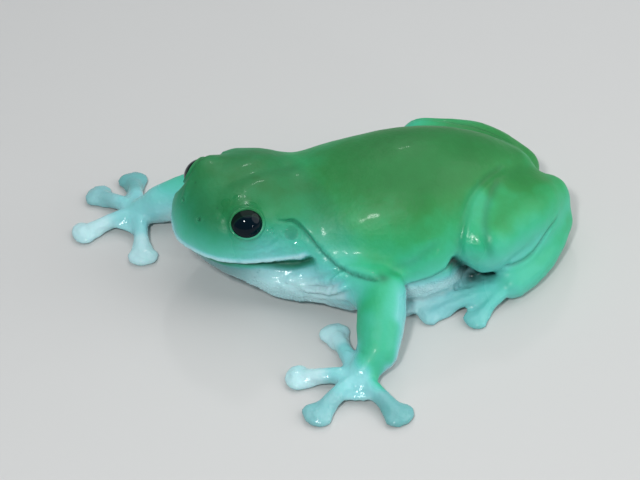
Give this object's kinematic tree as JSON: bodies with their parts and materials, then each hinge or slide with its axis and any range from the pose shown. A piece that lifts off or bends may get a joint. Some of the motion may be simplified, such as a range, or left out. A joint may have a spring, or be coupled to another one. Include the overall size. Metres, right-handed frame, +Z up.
{
  "type": "tree frog",
  "caption": "Life-size still model of a plump green tree frog, crouched on its belly, fore body raised and one arm reaching ahead.",
  "frame": {"origin": "the point on the floor under the middle of the whole frog's bounding box", "axes": "+Z up; the frog faces -X, and its left side is towards -Y"},
  "size_m": [0.128, 0.1102, 0.0352],
  "materials": {
    "head_skin": "moist frog skin, finely granular, glossy",
    "back_skin": "moist frog skin, finely granular, satin to glossy",
    "throat_skin": "pale moist skin, coarsely granular",
    "eardrum": "thin smooth skin, glossy",
    "arm_skin": "moist frog skin, glossy",
    "digit_skin": "pale moist skin of fingers and pads, glossy",
    "leg_skin": "moist frog skin, glossy",
    "foot_skin": "moist skin of foot and toes, glossy",
    "eye": "wet eyeball, near black, mirror glossy"
  },
  "bodies": {
    "root": {"head": "head_skin", "lower_jaw": "throat_skin", "left_ear": "eardrum", "right_ear": "eardrum", "left_eye": "eye", "right_eye": "eye", "trunk": "back_skin", "left_upper_arm": "arm_skin", "right_upper_arm": "arm_skin", "left_forearm": "arm_skin", "right_forearm": "arm_skin", "left_hand": "digit_skin", "right_hand": "digit_skin", "left_finger_1": "digit_skin", "left_finger_2": "digit_skin", "left_finger_3": "digit_skin", "left_finger_4": "digit_skin", "right_finger_1": "digit_skin", "right_finger_2": "digit_skin", "right_finger_3": "digit_skin", "right_finger_4": "digit_skin", "left_thigh": "leg_skin", "right_thigh": "leg_skin", "left_shank": "leg_skin", "right_shank": "leg_skin", "left_foot": "foot_skin", "right_foot": "foot_skin"}
  },
  "joints": []
}
